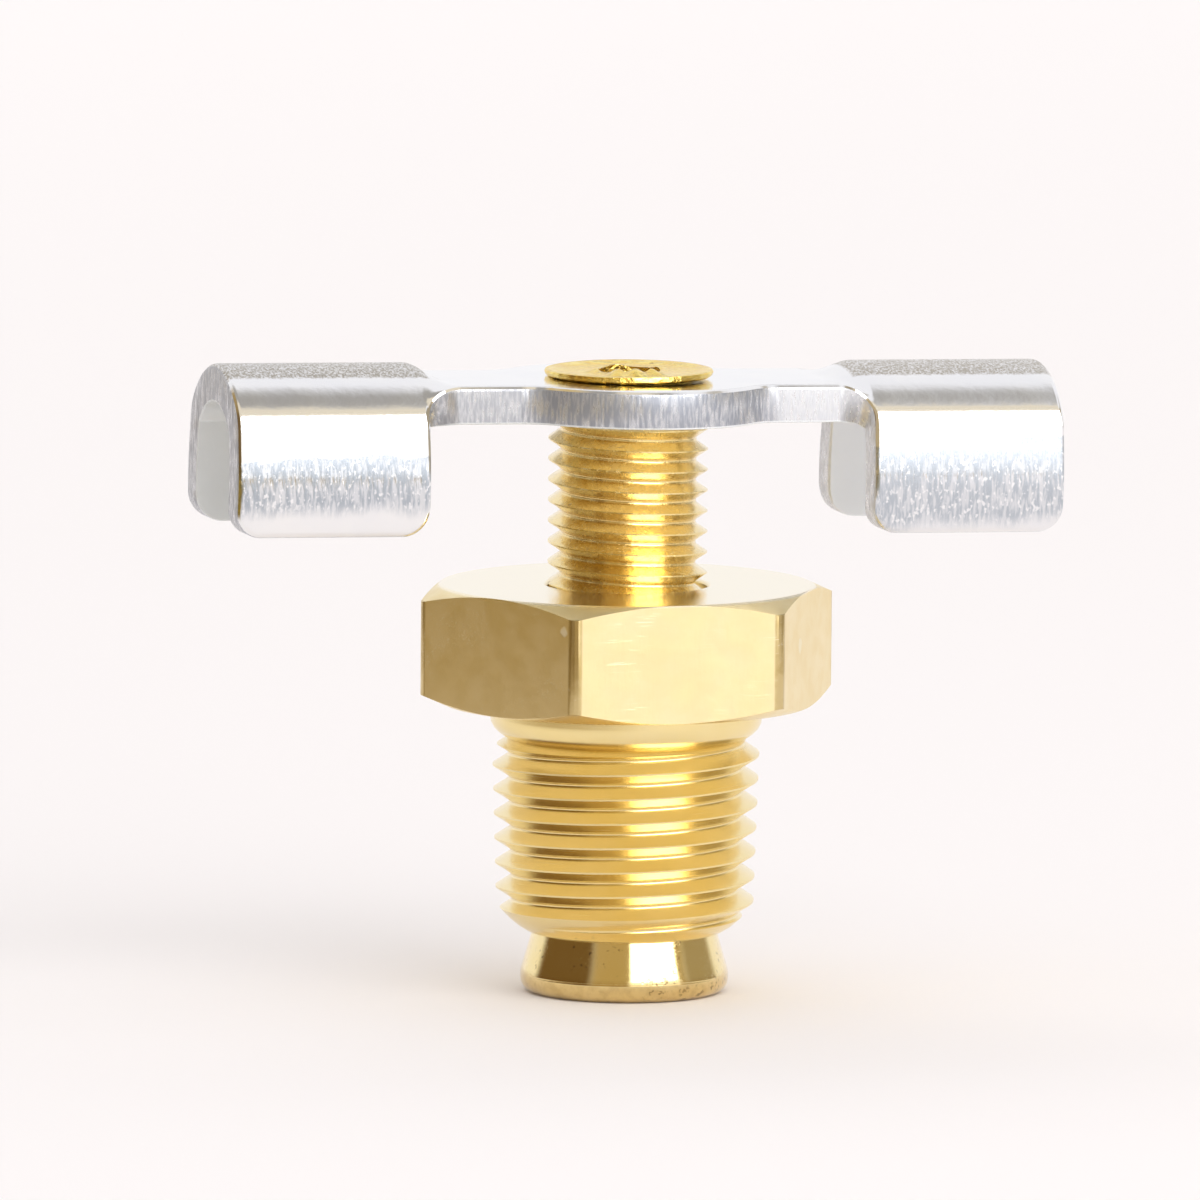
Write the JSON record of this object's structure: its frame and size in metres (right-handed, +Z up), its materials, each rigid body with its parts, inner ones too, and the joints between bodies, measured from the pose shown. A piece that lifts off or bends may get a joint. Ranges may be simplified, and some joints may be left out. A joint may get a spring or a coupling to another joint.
{
  "type": "drain cock",
  "caption": "Small brass drain cock: hexagon body with a tapered male pipe thread, a screwed stem whose conical plug closes the lower mouth, and a folded steel wing handle.",
  "frame": {"origin": "centre of the plug's flat lower end, on the stem's axis, which is the point that the closed valve stands on", "axes": "+Z up along the stem towards the handle; +X along the handle's wings and through two corners of the hexagon"},
  "size_m": [0.0328, 0.0142, 0.0242],
  "materials": {
    "body_brass": "turned and milled, satin",
    "stem_brass": "turned, bright",
    "plated_steel": "bright zinc plate on stamped sheet"
  },
  "bodies": {
    "valve_body": {"valve_body": "body_brass"},
    "stem": {"stem": "stem_brass"},
    "handle": {"handle": "plated_steel"}
  },
  "joints": [
    {"name": "stem_travel", "type": "slide", "parent": "valve_body", "child": "stem", "axis": [0, 0, -1], "range_m": [0, 0.00636]},
    {"name": "handle_turn", "type": "hinge", "parent": "stem", "child": "handle", "pos_m": [0, 0, 0.0229], "axis": [0, 0, 1], "range_deg": [0, 2880]}
  ],
  "couplings": [
    {"joint": "stem_travel", "follows": "handle_turn", "m_per_rad": 0.00012633}
  ]
}
